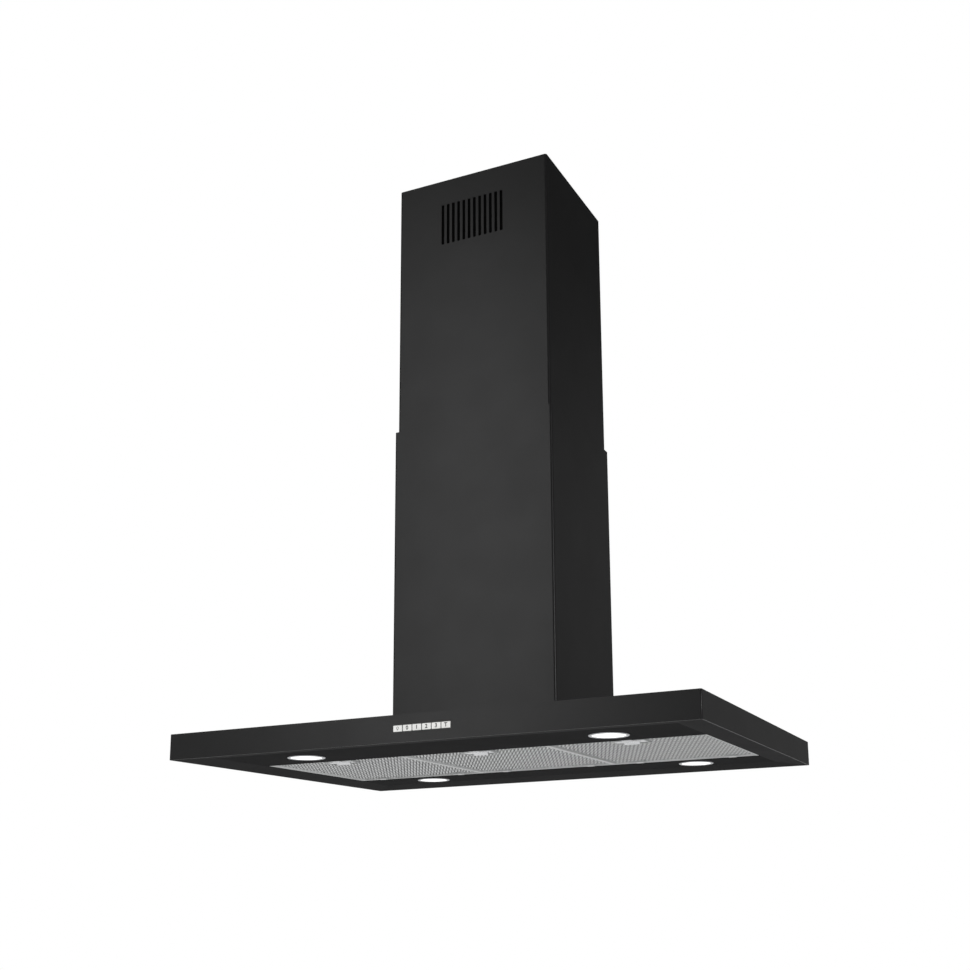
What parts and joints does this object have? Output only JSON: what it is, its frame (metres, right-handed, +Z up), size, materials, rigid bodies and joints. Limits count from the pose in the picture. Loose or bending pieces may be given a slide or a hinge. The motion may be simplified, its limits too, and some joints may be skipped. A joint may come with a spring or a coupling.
{
  "type": "chimney range hood",
  "caption": "Ceiling-hung chimney range hood: flat box canopy with mesh grease filters, lamps and push keys, telescopic chimney, and a blower inside.",
  "frame": {"origin": "middle of the ceiling plate's bolt pattern, on the ceiling", "axes": "+Z up along the chimney, -Y towards the front with the keys, +X to the right seen from the front"},
  "size_m": [0.9, 0.6506, 1.05],
  "materials": {
    "black_paint": "satin black powder coat",
    "dark_paint": "satin black powder coat",
    "filter_aluminium": "satin, waved expanded mesh",
    "latch_metal": "satin",
    "plated_steel": "zinc plated sheet",
    "lamp_ring": "satin",
    "lamp_lens": "frosted",
    "black_plastic": "moulded",
    "key_plastic": "silver grey",
    "board": "circuit board"
  },
  "bodies": {
    "ceiling_frame": {"ceiling_plate": "plated_steel", "upper_frame": "plated_steel", "frame_fasteners": "plated_steel"},
    "upper_chimney": {"upper_chimney": "black_paint", "outlet_louvres": "black_plastic"},
    "canopy": {"lower_frame": "plated_steel", "frame_screws": "plated_steel", "canopy_shell": "black_paint", "underside_border": "black_paint", "front_lamp_panel": "dark_paint", "rear_lamp_panel": "dark_paint", "front_filter_rail": "dark_paint", "rear_filter_rail": "dark_paint", "front_left_lamp_bezel": "lamp_ring", "front_left_lamp_lens": "lamp_lens", "front_left_lamp_body": "black_plastic", "front_right_lamp_bezel": "lamp_ring", "front_right_lamp_lens": "lamp_lens", "front_right_lamp_body": "black_plastic", "rear_left_lamp_bezel": "lamp_ring", "rear_left_lamp_lens": "lamp_lens", "rear_left_lamp_body": "black_plastic", "rear_right_lamp_bezel": "lamp_ring", "rear_right_lamp_lens": "lamp_lens", "rear_right_lamp_body": "black_plastic", "control_bezel": "black_plastic", "control_housing": "black_plastic", "control_board": "board", "electrics_box": "plated_steel", "electrics_cover": "plated_steel", "cable_gland": "black_plastic", "blower_box": "plated_steel", "blower_housing_left": "black_plastic", "blower_housing_right": "black_plastic", "inlet_rings": "black_plastic", "motor": "plated_steel", "motor_mount": "plated_steel", "outlet_collar": "black_plastic", "flap_pin": "plated_steel"},
    "lower_chimney": {"lower_chimney": "black_paint", "chimney_glides": "black_plastic"},
    "fan": {"impeller": "filter_aluminium", "motor_shaft": "plated_steel"},
    "front_flap": {"front_flap": "black_plastic"},
    "rear_flap": {"rear_flap": "black_plastic"},
    "left_filter": {"left_filter_frame": "filter_aluminium", "left_filter_mesh": "filter_aluminium"},
    "left_latch": {"left_filter_latch": "latch_metal"},
    "middle_filter": {"middle_filter_frame": "filter_aluminium", "middle_filter_mesh": "filter_aluminium"},
    "middle_latch": {"middle_filter_latch": "latch_metal"},
    "right_filter": {"right_filter_frame": "filter_aluminium", "right_filter_mesh": "filter_aluminium"},
    "right_latch": {"right_filter_latch": "latch_metal"},
    "lamp_key": {"lamp_key": "key_plastic"},
    "off_key": {"off_key": "key_plastic"},
    "speed_1_key": {"speed_1_key": "key_plastic"},
    "speed_2_key": {"speed_2_key": "key_plastic"},
    "speed_3_key": {"speed_3_key": "key_plastic"},
    "timer_key": {"timer_key": "key_plastic"}
  },
  "joints": [
    {"name": "height_slide", "type": "slide", "parent": "ceiling_frame", "child": "canopy", "axis": [0, 0, 1], "range_m": [-0.06, 0.2]},
    {"name": "upper_chimney_slide", "type": "slide", "parent": "ceiling_frame", "child": "upper_chimney", "axis": [0, 0, 1], "range_m": [-0.22, 0]},
    {"name": "lower_chimney_lift", "type": "slide", "parent": "canopy", "child": "lower_chimney", "axis": [0, 0, 1], "range_m": [0, 0.24]},
    {"name": "left_filter_swing", "type": "hinge", "parent": "canopy", "child": "left_filter", "pos_m": [-0.26513, 0.1705, -1.0397], "axis": [1, 0, 0], "range_deg": [0, 75]},
    {"name": "left_latch_slide", "type": "slide", "parent": "left_filter", "child": "left_latch", "axis": [0, 1, 0], "range_m": [0, 0.006], "stiffness_N_per_m": 250},
    {"name": "middle_filter_swing", "type": "hinge", "parent": "canopy", "child": "middle_filter", "pos_m": [0, 0.1705, -1.0397], "axis": [1, 0, 0], "range_deg": [0, 75]},
    {"name": "middle_latch_slide", "type": "slide", "parent": "middle_filter", "child": "middle_latch", "axis": [0, 1, 0], "range_m": [0, 0.006], "stiffness_N_per_m": 250},
    {"name": "right_filter_swing", "type": "hinge", "parent": "canopy", "child": "right_filter", "pos_m": [0.26513, 0.1705, -1.0397], "axis": [1, 0, 0], "range_deg": [0, 75]},
    {"name": "right_latch_slide", "type": "slide", "parent": "right_filter", "child": "right_latch", "axis": [0, 1, 0], "range_m": [0, 0.006], "stiffness_N_per_m": 250},
    {"name": "lamp_key_press", "type": "slide", "parent": "canopy", "child": "lamp_key", "axis": [0, 1, 0], "range_m": [0, 0.0015], "stiffness_N_per_m": 400},
    {"name": "off_key_press", "type": "slide", "parent": "canopy", "child": "off_key", "axis": [0, 1, 0], "range_m": [0, 0.0015], "stiffness_N_per_m": 400},
    {"name": "speed_1_key_press", "type": "slide", "parent": "canopy", "child": "speed_1_key", "axis": [0, 1, 0], "range_m": [0, 0.0015], "stiffness_N_per_m": 400},
    {"name": "speed_2_key_press", "type": "slide", "parent": "canopy", "child": "speed_2_key", "axis": [0, 1, 0], "range_m": [0, 0.0015], "stiffness_N_per_m": 400},
    {"name": "speed_3_key_press", "type": "slide", "parent": "canopy", "child": "speed_3_key", "axis": [0, 1, 0], "range_m": [0, 0.0015], "stiffness_N_per_m": 400},
    {"name": "timer_key_press", "type": "slide", "parent": "canopy", "child": "timer_key", "axis": [0, 1, 0], "range_m": [0, 0.0015], "stiffness_N_per_m": 400},
    {"name": "fan_spin", "type": "hinge", "parent": "canopy", "child": "fan", "pos_m": [0, -0.028, -0.921], "axis": [1, 0, 0], "continuous": true},
    {"name": "front_flap_swing", "type": "hinge", "parent": "canopy", "child": "front_flap", "pos_m": [0, 0, -0.756], "axis": [-1, 0, 0], "range_deg": [0, 75]},
    {"name": "rear_flap_swing", "type": "hinge", "parent": "canopy", "child": "rear_flap", "pos_m": [0, 0, -0.756], "axis": [1, 0, 0], "range_deg": [0, 75]}
  ]
}
